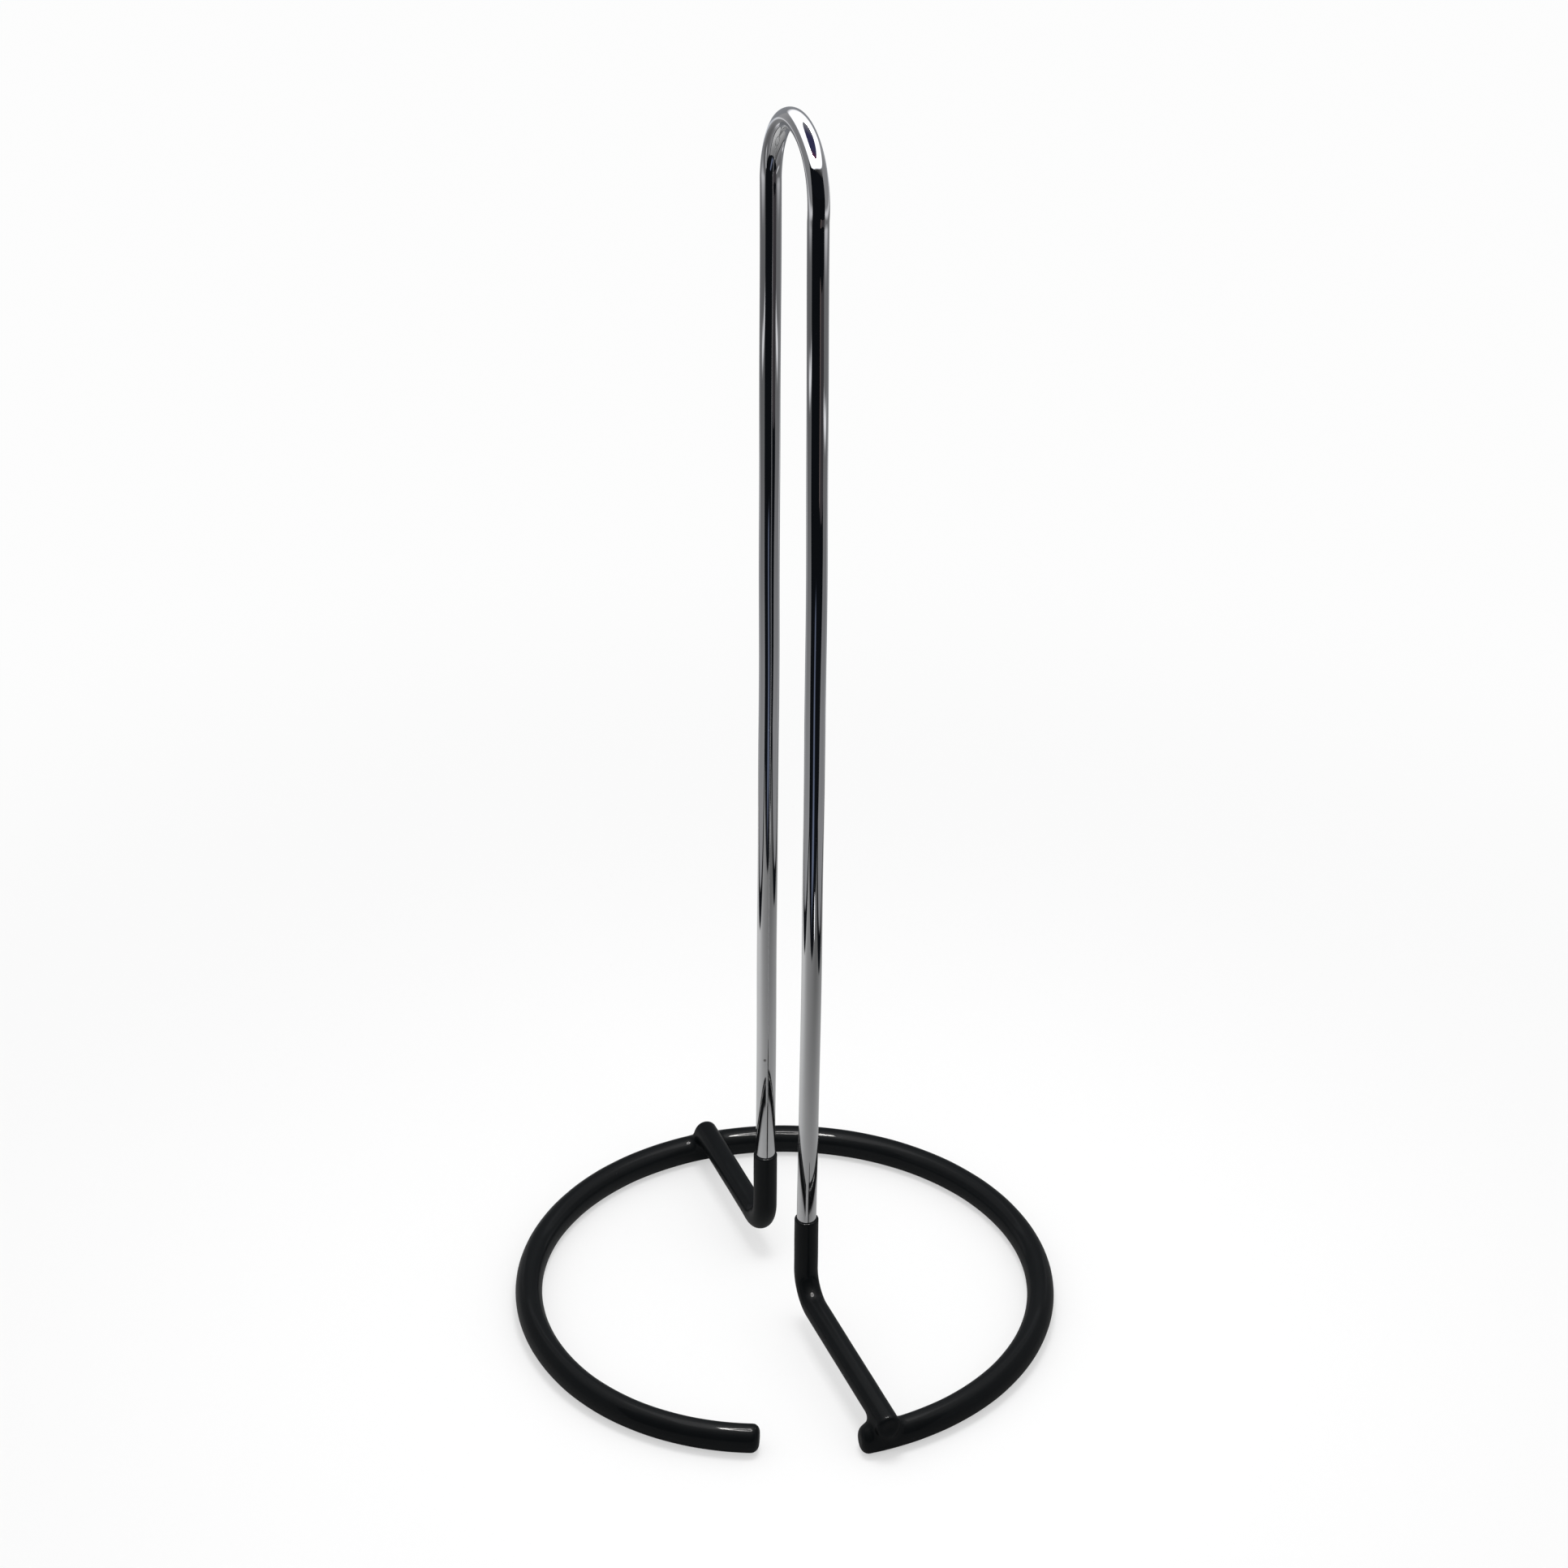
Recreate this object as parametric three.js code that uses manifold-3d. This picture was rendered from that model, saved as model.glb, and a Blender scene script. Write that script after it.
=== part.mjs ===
// Free-standing wire post stand. A tall chrome-plated hairpin is welded across an open ring base,
// and one black dip-coated vinyl skin covers the ring, both feet and the lower ends of the legs.
// Millimetres, +Z up. The origin is the middle of the footprint, on the resting plane. The
// hairpin stands in a plane parallel to YZ, and its longer foot points to -Y.

import * as THREE from 'three';
import { mergeVertices } from 'three/addons/utils/BufferGeometryUtils.js';
import Module from 'manifold-3d';

// Wires and skin. Radii are half the distance across the flats of the faceted section.
const POST_WIRE_RADIUS = 2.5;
const RING_WIRE_RADIUS = 3;
const SKIN_THICKNESS = 0.6;
const RING_SKIN_SIDE_THICKNESS = 0.5;
const RING_SKIN_TOP_THICKNESS = 0.75;
const RING_SKIN_END_THICKNESS = 1.1;
const SKIN_CLEARANCE = 0.1;

// Open ring base. Azimuths are in degrees, anticlockwise from +X.
const RING_RADIUS = 66.6;
const RING_CENTRE_Y = 0.5;
const RING_START_AZIMUTH = -93.3;
const RING_END_AZIMUTH = 242.8;
const RING_END_TUCK = 2.8;
const RING_TUCK_SPAN = 48;
const RING_END_CORNER = 1.9;

// Hairpin post. The legs bow slightly apart, and both to one side, above the dip line.
const POST_X = 1.1;
const POST_Y = 3.3;
const POST_TOP_Z = 322.7;
const LEG_SPACING = 30.4;
const LEG_BOW = 0.65;
const LEG_SIDE_BOW = 0.45;
const TOP_BEND_RISE = 18.2;
const TOP_BEND_LEAN = 0.35;
const FOOT_BEND_RADIUS = 8;
const FRONT_FOOT_END_Y = -70;
const REAR_FOOT_END_Y = 66.3;
const FOOT_END_CORNER = 1.2;

// Dip line of the skin on the legs.
const DIP_LINE_Z = 33;
const DIP_RIM_CORNER = 0.35;

// Cross-wire welds, and the skin that fills the corners around them.
const WELD_GAP = 0.2;
const WELD_CLEARANCE = 0.05;
const WELD_SIZE = new THREE.Vector3(2, 1.9, 1.1);
const REAR_WELD_INSET = 0.9;
const WEB_SIZE = new THREE.Vector3(5.2, 3.2, 3.2);

// Faceting.
const SIDES = 16;
const RING_STEP_DEGREES = 5;
const FOOT_BEND_STEPS = 8;
const LEG_STEPS = 8;
const TOP_BEND_STEPS = 24;
const CORNER_STEPS = 3;
const LUMP_SEGMENTS = 20;

// Heights and plan positions that follow from the dimensions above.
const RING_Z = RING_WIRE_RADIUS + RING_SKIN_TOP_THICKNESS;
const CONTACT_Z = RING_Z + RING_WIRE_RADIUS + WELD_GAP / 2;
const FOOT_Z = CONTACT_Z + WELD_GAP / 2 + POST_WIRE_RADIUS;
const FRONT_LEG_Y = POST_Y - LEG_SPACING / 2;
const REAR_LEG_Y = POST_Y + LEG_SPACING / 2;
const TOP_BEND_Z = POST_TOP_Z - POST_WIRE_RADIUS - TOP_BEND_RISE;
const CROSSING_REACH = Math.sqrt(RING_RADIUS ** 2 - POST_X ** 2);
const FRONT_WELD = new THREE.Vector3(POST_X, RING_CENTRE_Y - CROSSING_REACH, CONTACT_Z);
const REAR_WELD = new THREE.Vector3(POST_X, RING_CENTRE_Y + CROSSING_REACH - REAR_WELD_INSET, CONTACT_Z);

const wasm = await Module();
wasm.setup();

const radians = THREE.MathUtils.degToRad;

// ---------------------------------------------------------------- paths

// A path is a list of stations, and each station is a point with the path's direction there.
class StationCurve extends THREE.Curve {
  constructor(stations) {
    super();
    this.stations = stations;
  }

  station(u) {
    return this.stations[Math.round(u * (this.stations.length - 1))];
  }

  getPointAt(u, target = new THREE.Vector3()) {
    return target.copy(this.station(u).point);
  }

  getTangentAt(u, target = new THREE.Vector3()) {
    return target.copy(this.station(u).direction);
  }
}

function ringStation(azimuth) {
  const angle = radians(azimuth);
  const tuck = Math.max(0, 1 - (RING_END_AZIMUTH - azimuth) / RING_TUCK_SPAN);
  const radius = RING_RADIUS - RING_END_TUCK * tuck ** 2;
  const growth = (-2 * RING_END_TUCK * tuck) / radians(RING_TUCK_SPAN);
  const outward = new THREE.Vector3(Math.cos(angle), Math.sin(angle), 0);
  const along = new THREE.Vector3(-Math.sin(angle), Math.cos(angle), 0);
  const point = new THREE.Vector3(0, RING_CENTRE_Y, RING_Z).addScaledVector(outward, radius);
  const direction = along.multiplyScalar(radius).addScaledVector(outward, growth).normalize();
  return { point, direction };
}

// The ring from end to end, lengthened at both ends by overrun, with the given distances from
// each tip as extra stations.
function ringPath(overrun, tipDistances = []) {
  const degrees = (length) => THREE.MathUtils.radToDeg(length / RING_RADIUS);
  const start = RING_START_AZIMUTH - degrees(overrun);
  const end = RING_END_AZIMUTH + degrees(overrun);
  const azimuths = [start, ...tipDistances.map((distance) => start + degrees(distance))];
  const clear = degrees(RING_END_CORNER * 2);
  let azimuth = Math.ceil((start + clear) / RING_STEP_DEGREES) * RING_STEP_DEGREES;
  for (; azimuth < end - clear; azimuth += RING_STEP_DEGREES) {
    azimuths.push(azimuth);
  }
  azimuths.push(...tipDistances.map((distance) => end - degrees(distance)).reverse(), end);
  return azimuths.map(ringStation);
}

function postStation(y, z, directionY, directionZ) {
  return {
    point: new THREE.Vector3(POST_X, y, z),
    direction: new THREE.Vector3(0, directionY, directionZ),
  };
}

// A round bend from a foot to its leg, from one angle to the other about its centre.
function footBend(centreY, from, to) {
  const turn = Math.sign(to - from);
  return Array.from({ length: FOOT_BEND_STEPS + 1 }, (unused, i) => {
    const angle = radians(from + ((to - from) * i) / FOOT_BEND_STEPS);
    const y = centreY + FOOT_BEND_RADIUS * Math.cos(angle);
    const z = FOOT_Z + FOOT_BEND_RADIUS * (1 + Math.sin(angle));
    return postStation(y, z, -Math.sin(angle) * turn, Math.cos(angle) * turn);
  });
}

function frontFootBend() {
  return footBend(FRONT_LEG_Y - FOOT_BEND_RADIUS, -90, 0);
}

function rearFootBend() {
  return footBend(REAR_LEG_Y + FOOT_BEND_RADIUS, 180, 270);
}

// A leg from the dip line up to the top bend, bowed outwards and to the side.
function bowedLeg(legY) {
  const outward = Math.sign(legY - POST_Y);
  const span = TOP_BEND_Z - DIP_LINE_Z;
  return Array.from({ length: LEG_STEPS }, (unused, i) => {
    const along = (Math.PI * i) / LEG_STEPS;
    const bow = new THREE.Vector3(LEG_SIDE_BOW, outward * LEG_BOW, 0);
    const foot = new THREE.Vector3(POST_X, legY, DIP_LINE_Z + (span * i) / LEG_STEPS);
    const point = foot.addScaledVector(bow, Math.sin(along));
    const direction = bow.multiplyScalar((Math.cos(along) * Math.PI) / span).setZ(1).normalize();
    return { point, direction };
  });
}

// The top bend, half an ellipse whose crown leans a little towards the front.
function topBend() {
  return Array.from({ length: TOP_BEND_STEPS + 1 }, (unused, i) => {
    const angle = Math.PI * (1 - i / TOP_BEND_STEPS);
    const cos = Math.cos(angle);
    const sin = Math.sin(angle);
    const y = POST_Y + (LEG_SPACING / 2) * cos - TOP_BEND_LEAN * sin;
    const z = TOP_BEND_Z + TOP_BEND_RISE * sin;
    const slope = new THREE.Vector2((LEG_SPACING / 2) * sin + TOP_BEND_LEAN * cos, -TOP_BEND_RISE * cos);
    slope.normalize();
    return postStation(y, z, slope.x, slope.y);
  });
}

function reversed(stations) {
  return stations.reverse().map(({ point, direction }) => ({ point, direction: direction.negate() }));
}

// The whole hairpin, from the front foot's end over the top to the rear foot's end.
function hairpinPath(overrun) {
  return [
    postStation(FRONT_FOOT_END_Y - overrun, FOOT_Z, 1, 0),
    ...frontFootBend(),
    ...bowedLeg(FRONT_LEG_Y),
    ...topBend(),
    ...reversed(bowedLeg(REAR_LEG_Y)),
    ...rearFootBend(),
    postStation(REAR_FOOT_END_Y + overrun, FOOT_Z, 1, 0),
  ];
}

// Distances from a tip at which a rounded corner has its facets.
function cornerDistances(corner) {
  return Array.from({ length: CORNER_STEPS }, (unused, i) => {
    return corner * (1 - Math.cos(radians((90 * (i + 1)) / CORNER_STEPS)));
  });
}

// The skin on the front foot and leg, from the foot's tip up to the dip line.
function frontSkinPath() {
  const tip = FRONT_FOOT_END_Y - SKIN_THICKNESS;
  return [
    postStation(tip, FOOT_Z, 1, 0),
    ...cornerDistances(FOOT_END_CORNER).map((distance) => postStation(tip + distance, FOOT_Z, 1, 0)),
    ...frontFootBend(),
    ...rimDistances().map((distance) => postStation(FRONT_LEG_Y, DIP_LINE_Z - distance, 0, 1)),
    postStation(FRONT_LEG_Y, DIP_LINE_Z, 0, 1),
  ];
}

// The skin on the rear leg and foot, from the dip line down and out to the foot's tip.
function rearSkinPath() {
  const tip = REAR_FOOT_END_Y + SKIN_THICKNESS;
  const cornerFacets = cornerDistances(FOOT_END_CORNER).reverse();
  return [
    postStation(REAR_LEG_Y, DIP_LINE_Z, 0, -1),
    ...rimDistances().reverse().map((distance) => postStation(REAR_LEG_Y, DIP_LINE_Z - distance, 0, -1)),
    ...rearFootBend(),
    ...cornerFacets.map((distance) => postStation(tip - distance, FOOT_Z, 1, 0)),
    postStation(tip, FOOT_Z, 1, 0),
  ];
}

function rimDistances() {
  return cornerDistances(DIP_RIM_CORNER).reverse();
}

// ---------------------------------------------------------------- solids

// A wire's cross-section: a polygon with its flats square to the path's two side directions.
function section(radius) {
  const cornerRadius = radius / Math.cos(Math.PI / SIDES);
  const corners = Array.from({ length: SIDES }, (unused, i) => {
    const angle = ((i + 0.5) * 2 * Math.PI) / SIDES;
    return new THREE.Vector2(cornerRadius * Math.cos(angle), cornerRadius * Math.sin(angle));
  });
  return new THREE.Shape(corners);
}

function sweep(stations, radius) {
  return new THREE.ExtrudeGeometry(section(radius), {
    steps: stations.length - 1,
    bevelEnabled: false,
    extrudePath: new StationCurve(stations),
  });
}

// Rounds the rim of one end of a swept tube by drawing its last rings of points in to the axis.
function roundEnd(geometry, tip, radius, corner) {
  const inward = tip.direction.clone();
  const position = geometry.getAttribute('position');
  const vertex = new THREE.Vector3();
  const centre = new THREE.Vector3();
  for (let i = 0; i < position.count; i += 1) {
    vertex.fromBufferAttribute(position, i);
    const depth = vertex.clone().sub(tip.point).dot(inward);
    const near = vertex.distanceTo(tip.point) < radius * 2;
    if (near && depth < corner) {
      const rise = Math.sqrt(Math.max(0, corner ** 2 - (corner - Math.max(depth, 0)) ** 2));
      centre.copy(tip.point).addScaledVector(inward, depth);
      vertex.sub(centre).multiplyScalar((radius - corner + rise) / radius).add(centre);
      position.setXYZ(i, vertex.x, vertex.y, vertex.z);
    }
  }
}

function roundBothEnds(stations, radius, startCorner, endCorner) {
  const geometry = sweep(stations, radius);
  const last = stations[stations.length - 1];
  roundEnd(geometry, stations[0], radius, startCorner);
  roundEnd(geometry, { point: last.point, direction: last.direction.clone().negate() }, radius, endCorner);
  return geometry;
}

// A lump of weld metal or of skin: an ellipsoid about a weld.
function lump(centre, size) {
  const geometry = new THREE.SphereGeometry(1, LUMP_SEGMENTS, LUMP_SEGMENTS / 2);
  geometry.scale(size.x, size.y, size.z);
  return geometry.translate(centre.x, centre.y, centre.z);
}

function toSolid(geometry) {
  const bare = geometry.clone();
  bare.deleteAttribute('normal');
  bare.deleteAttribute('uv');
  const merged = mergeVertices(bare, 1e-4);
  return new wasm.Manifold(new wasm.Mesh({
    numProp: 3,
    vertProperties: new Float32Array(merged.getAttribute('position').array),
    triVerts: new Uint32Array(merged.getIndex().array),
  }));
}

function toGeometry(solid) {
  const mesh = solid.getMesh();
  const geometry = new THREE.BufferGeometry();
  geometry.setAttribute('position', new THREE.BufferAttribute(mesh.vertProperties, 3));
  geometry.setIndex(new THREE.BufferAttribute(mesh.triVerts, 1));
  const flat = geometry.toNonIndexed();
  flat.computeVertexNormals();
  return flat;
}

// ---------------------------------------------------------------- sub-parts

function hairpinPost() {
  return sweep(hairpinPath(0), POST_WIRE_RADIUS);
}

function baseRing() {
  return sweep(ringPath(0), RING_WIRE_RADIUS);
}

// The fused metal between the ring and a foot, clear of both wires.
function weld(centre) {
  const ring = toSolid(sweep(ringPath(0), RING_WIRE_RADIUS + WELD_CLEARANCE));
  const post = toSolid(sweep(hairpinPath(WELD_CLEARANCE), POST_WIRE_RADIUS + WELD_CLEARANCE));
  return toGeometry(toSolid(lump(centre, WELD_SIZE)).subtract(ring).subtract(post));
}

// The skin round the ring: thinnest at the wire's sides, and thickest over its two cut ends.
function ringSkin() {
  const radius = RING_WIRE_RADIUS + RING_SKIN_SIDE_THICKNESS;
  const ring = ringPath(RING_SKIN_END_THICKNESS, cornerDistances(RING_END_CORNER));
  return roundBothEnds(ring, radius, RING_END_CORNER, RING_END_CORNER)
    .translate(0, 0, -RING_Z)
    .scale(1, 1, RING_Z / radius)
    .translate(0, 0, RING_Z);
}

function skinOutside() {
  const legRadius = POST_WIRE_RADIUS + SKIN_THICKNESS;
  const frontTube = roundBothEnds(frontSkinPath(), legRadius, FOOT_END_CORNER, DIP_RIM_CORNER);
  const rearTube = roundBothEnds(rearSkinPath(), legRadius, DIP_RIM_CORNER, FOOT_END_CORNER);
  return toSolid(ringSkin())
    .add(toSolid(frontTube))
    .add(toSolid(rearTube))
    .add(toSolid(lump(FRONT_WELD, WEB_SIZE)))
    .add(toSolid(lump(REAR_WELD, WEB_SIZE)));
}

// The hollow that the wires and welds fill, open at the dip line on both legs.
function skinHollow() {
  const ring = sweep(ringPath(SKIN_CLEARANCE), RING_WIRE_RADIUS + SKIN_CLEARANCE);
  const post = sweep(hairpinPath(SKIN_CLEARANCE), POST_WIRE_RADIUS + SKIN_CLEARANCE);
  const weldSize = WELD_SIZE.clone().addScalar(SKIN_CLEARANCE);
  return toSolid(ring)
    .add(toSolid(post))
    .add(toSolid(lump(FRONT_WELD, weldSize)))
    .add(toSolid(lump(REAR_WELD, weldSize)));
}

function dipCoat() {
  return toGeometry(skinOutside().subtract(skinHollow()));
}

// ---------------------------------------------------------------- assembly

const chrome = new THREE.MeshStandardMaterial({ color: 0xd6d8da, roughness: 0.05, metalness: 1 });
const steel = new THREE.MeshStandardMaterial({ color: 0x85878a, roughness: 0.4, metalness: 1 });
const weldMetal = new THREE.MeshStandardMaterial({ color: 0x5f5c5a, roughness: 0.6, metalness: 1 });
const vinyl = new THREE.MeshStandardMaterial({ color: 0x0e1213, roughness: 0.22, metalness: 0 });

const stand = new THREE.Group();

function addPart(name, geometry, material) {
  const mesh = new THREE.Mesh(geometry, material);
  mesh.name = name;
  stand.add(mesh);
}

addPart('hairpin_post', hairpinPost(), chrome);
addPart('base_ring', baseRing(), steel);
addPart('front_weld', weld(FRONT_WELD), weldMetal);
addPart('rear_weld', weld(REAR_WELD), weldMetal);
addPart('dip_coat', dipCoat(), vinyl);

export default stand;
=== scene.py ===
"""Looks for the wire post stand: a smooth chrome hairpin and one dip-coated skin, in a small light box."""

import math

import bmesh
import bpy
import numpy as np
from mathutils import Matrix, Vector


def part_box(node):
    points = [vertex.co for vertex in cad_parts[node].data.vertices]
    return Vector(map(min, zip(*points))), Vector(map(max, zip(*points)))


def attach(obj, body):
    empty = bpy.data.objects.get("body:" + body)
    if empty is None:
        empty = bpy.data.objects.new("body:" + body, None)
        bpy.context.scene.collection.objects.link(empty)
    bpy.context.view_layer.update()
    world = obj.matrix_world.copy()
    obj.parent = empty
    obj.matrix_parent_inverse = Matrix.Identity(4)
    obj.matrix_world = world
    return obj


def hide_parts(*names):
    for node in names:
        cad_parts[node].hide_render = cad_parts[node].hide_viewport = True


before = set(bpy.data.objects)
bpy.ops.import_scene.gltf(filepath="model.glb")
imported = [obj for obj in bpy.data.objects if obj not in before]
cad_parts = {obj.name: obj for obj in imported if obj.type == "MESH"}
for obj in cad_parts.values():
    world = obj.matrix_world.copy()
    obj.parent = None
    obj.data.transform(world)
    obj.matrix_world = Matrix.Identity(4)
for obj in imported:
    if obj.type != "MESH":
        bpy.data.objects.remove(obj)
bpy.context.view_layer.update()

MM = 0.001
TURN = 2 * math.pi

# How near a CAD corner has to be to count as on a face, at a height or at the ring's end.
ON_FACE = 0.1 * MM
AT_HEIGHT = 0.3 * MM
AT_RING_END = math.radians(1)

# Where the two bends' corners are looked for: under the dip line, and in wire radii from the top.
UNDER_DIP_LINE = 1 * MM
TOP_BEND_ZONE = 12

# ------------------------------------------------------------ sizes that the frame gives


def corners(node):
    """Every vertex of a CAD node, as rows of x, y and z."""
    return np.array([vertex.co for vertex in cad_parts[node].data.vertices], float)


def middle(low, high):
    return (low + high) / 2


post_low, post_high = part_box("hairpin_post")
ring_low, ring_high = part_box("base_ring")
coat_low, coat_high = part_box("dip_coat")

# The hairpin: wire radius, the plane it stands in, its feet, legs and bends.
DIP_LINE = coat_high.z
FRONT_FOOT_END, REAR_FOOT_END = post_low.y, post_high.y
post_corners = corners("hairpin_post")
foot_tip = post_corners[post_corners[:, 1] < FRONT_FOOT_END + ON_FACE]
WIRE = (foot_tip[:, 2].max() - foot_tip[:, 2].min()) / 2
POST_X = middle(foot_tip[:, 0].min(), foot_tip[:, 0].max())
FOOT_Z = post_low.z + WIRE
FOOT_BEND_Z = post_corners[post_corners[:, 2] < DIP_LINE - UNDER_DIP_LINE][:, 2].max()
FOOT_BEND = FOOT_BEND_Z - FOOT_Z
TOP_BEND_Z = post_corners[post_corners[:, 2] > post_high.z - TOP_BEND_ZONE * WIRE][:, 2].min()
TOP_BEND_RISE = post_high.z - WIRE - TOP_BEND_Z
CROWN_Y = post_corners[post_corners[:, 2].argmax(), 1]


def leg_centre(side, height):
    """The middle of one leg at a height where the CAD wire has a ring of corners; side -1 is the front."""
    near = np.abs(post_corners[:, 2] - height) < AT_HEIGHT
    ring = post_corners[near & ((post_corners[:, 1] - CROWN_Y) * side > 0)]
    return middle(ring.min(0), ring.max(0))


half_way = middle(DIP_LINE, TOP_BEND_Z)
FRONT_LEG, REAR_LEG = (leg_centre(side, DIP_LINE)[1] for side in (-1, 1))
FRONT_BOW, REAR_BOW = (leg_centre(side, half_way) - leg_centre(side, DIP_LINE) for side in (-1, 1))
TOP_BEND_LEAN = middle(FRONT_LEG, REAR_LEG) - CROWN_Y

# The ring: wire radius, centre line and the gap's two edges.
RING_WIRE = (ring_high.z - ring_low.z) / 2
RING_RADIUS = (ring_high.x - ring_low.x) / 2 - RING_WIRE
RING_CENTRE = Vector((middle(ring_low.x, ring_high.x), ring_high.y - RING_RADIUS - RING_WIRE,
                      middle(ring_low.z, ring_high.z)))
RING_TUCK_SPAN = math.radians(48)


def around_ring(node):
    """A node's corners at the ring's own height, from the ring's centre, and their azimuths."""
    points = corners(node) - np.array(RING_CENTRE)
    points = points[np.abs(points[:, 2]) < RING_WIRE / 2]
    return points, np.arctan2(points[:, 1], points[:, 0]) % TURN


def gap_edges(node):
    """Azimuths at which the ring or its skin starts and ends."""
    order = np.sort(around_ring(node)[1])
    widest = np.diff(np.append(order, order[0] + TURN)).argmax()
    return order[(widest + 1) % len(order)] - TURN, order[widest]


def end_tuck():
    """How far the ring's end is tucked inwards."""
    points, azimuth = around_ring("base_ring")
    face = points[np.abs(azimuth - RING_END) < AT_RING_END]
    tip = middle(face.min(0), face.max(0))
    return RING_RADIUS - math.hypot(tip[0], tip[1])


RING_START, RING_END = gap_edges("base_ring")
RING_TUCK = end_tuck()

# The skin: its thickness on the feet and legs, and beside, above and beyond the ring's wire.
SKIN = post_low.y - coat_low.y
RING_SIDE_SKIN = ring_low.x - coat_low.x
RING_TOP_SKIN = ring_low.z - coat_low.z
RING_END_SKIN = (RING_START - gap_edges("dip_coat")[0]) * RING_RADIUS

# ------------------------------------------------------------ sizes of the finish

# The skin's room round the wires and welds, and the corners and dimples of its ends.
SKIN_GAP = 0.03 * MM
RING_END_CORNER = 2.0 * MM
FOOT_END_CORNER = 1.15 * MM
FOOT_END_DIMPLE = 0.3 * MM
DIMPLE_REACH = 1.5 * MM

# The rim at the dip line: its corner, and a bead whose place below the line is in bead widths.
RIM_CORNER = 0.5 * MM
RIM_BEAD = 0.1 * MM
RIM_BEAD_WIDTH = 1.3 * MM
RIM_BEAD_PLACE = 0.9
RIM_ZONE = 1.6 * MM
RIM_CUTS = 2

# The drip under the rear foot's bend, and the fill in the corners at the cross-welds.
REAR_DRIP = 0.4 * MM
DRIP_REACH = 5 * MM
WEB = 3.4 * MM

# The skin's unevenness: each wave's share, its turn per millimetre along x, y and z, and its start.
SWELL = 0.05 * MM
SWELL_WAVES = (
    (1.0, (0.31, 0.17, 0.4), 0.0),
    (1.0, (-0.35, 0.23, 0.0), 1.7),
    (0.6, (0.71, 0.0, 0.55), 0.4),
    (0.6, (0.0, 0.63, -0.48), 2.9),
)

# The waviness of the legs, which turns differently in and out of their plane and on the rear leg.
LEG_WAVE = 0.05 * MM
LONG_WAVE = 21 * MM
SHORT_WAVE = 8.7 * MM
SHORT_WAVE_SHARE = 0.6
SIDE_WAVE_TURN = 4.2
REAR_WAVE_TURN = 2.1
BEND_SIDE_LEAN = 0.25 * MM
BEND_SHOULDER = 1.4 * MM

# How fine the meshes are.
VOXEL = 0.47 * MM
WIRE_SIDES = 72
WIRE_STEP = 0.7 * MM
COAT_SIDES = 36
COAT_STEP = 1 * MM
HOLLOW_SIDES = 40
HOLLOW_STEP = 2 * MM
HOLLOW_OVERRUN = 3 * MM
EGG_SEGMENTS = 24
EGG_RINGS = 12
SHARP_ANGLE = math.radians(50)

# How the skin's points settle on its surface.
PROBE = 0.01 * MM
LEAST_STEEPNESS = 0.25
FIRST_ROUNDS = 6
RELAX_ROUNDS = 6
RELAX_SHARE = 0.5
ROUNDS_BETWEEN = 2
LAST_ROUNDS = 3


# ------------------------------------------------------------ paths


def ring_radius_at(azimuth):
    tuck = np.clip(1 - (RING_END - azimuth) / RING_TUCK_SPAN, 0, None)
    return RING_RADIUS - RING_TUCK * tuck ** 2


def ring_line(azimuth):
    """Points on the ring's centre line."""
    radius = ring_radius_at(azimuth)
    flat = np.stack([radius * np.cos(azimuth), radius * np.sin(azimuth), np.zeros_like(azimuth)], 1)
    return flat + np.array(RING_CENTRE)


def ring_path(overrun, step):
    lead = overrun / RING_RADIUS
    count = int((RING_END - RING_START) * RING_RADIUS / step)
    return ring_line(np.linspace(RING_START - lead, RING_END + lead, count))


def arc(centre_y, centre_z, reach, rise, start, end, step):
    """Points on an elliptical bend in the hairpin's plane, angles in degrees."""
    count = int(abs(math.radians(end - start)) * max(reach, rise) / step) + 2
    angle = np.radians(np.linspace(start, end, count))
    return in_plane(centre_y + reach * np.cos(angle), centre_z + rise * np.sin(angle))


def in_plane(y, z):
    y, z = np.broadcast_arrays(np.atleast_1d(y).astype(float), np.atleast_1d(z).astype(float))
    return np.stack([np.full_like(y, POST_X), y, z], 1)


def run(start, end, step):
    """Evenly spaced numbers strictly between two ends."""
    count = int(abs(end - start) / step) + 1
    return np.linspace(start, end, count + 1)[1:-1]


def foot_path(end_y, leg_y, overrun, step):
    """From beyond a foot's tip, along the foot and round its bend, to the start of the leg."""
    outward = math.copysign(1, end_y - leg_y)
    bend_y = leg_y + outward * FOOT_BEND
    tip = end_y + outward * overrun
    foot = in_plane(np.concatenate([[tip], run(tip, bend_y, step)]), FOOT_Z)
    turn = (-90, 0) if outward < 0 else (270, 180)
    return np.concatenate([foot, arc(bend_y, FOOT_BEND_Z, FOOT_BEND, FOOT_BEND, *turn, step)])


def hairpin_path(step):
    """The whole hairpin wire from the front foot's tip to the rear foot's tip."""
    front = leg_path(FRONT_LEG, FRONT_BOW, 0.0, step * 2)
    rear = leg_path(REAR_LEG, REAR_BOW, REAR_WAVE_TURN, step * 2)
    return np.concatenate([
        foot_path(FRONT_FOOT_END, FRONT_LEG, 0, step), front, top_bend_path(step),
        rear[::-1], foot_path(REAR_FOOT_END, REAR_LEG, 0, step)[::-1],
    ])


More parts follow.
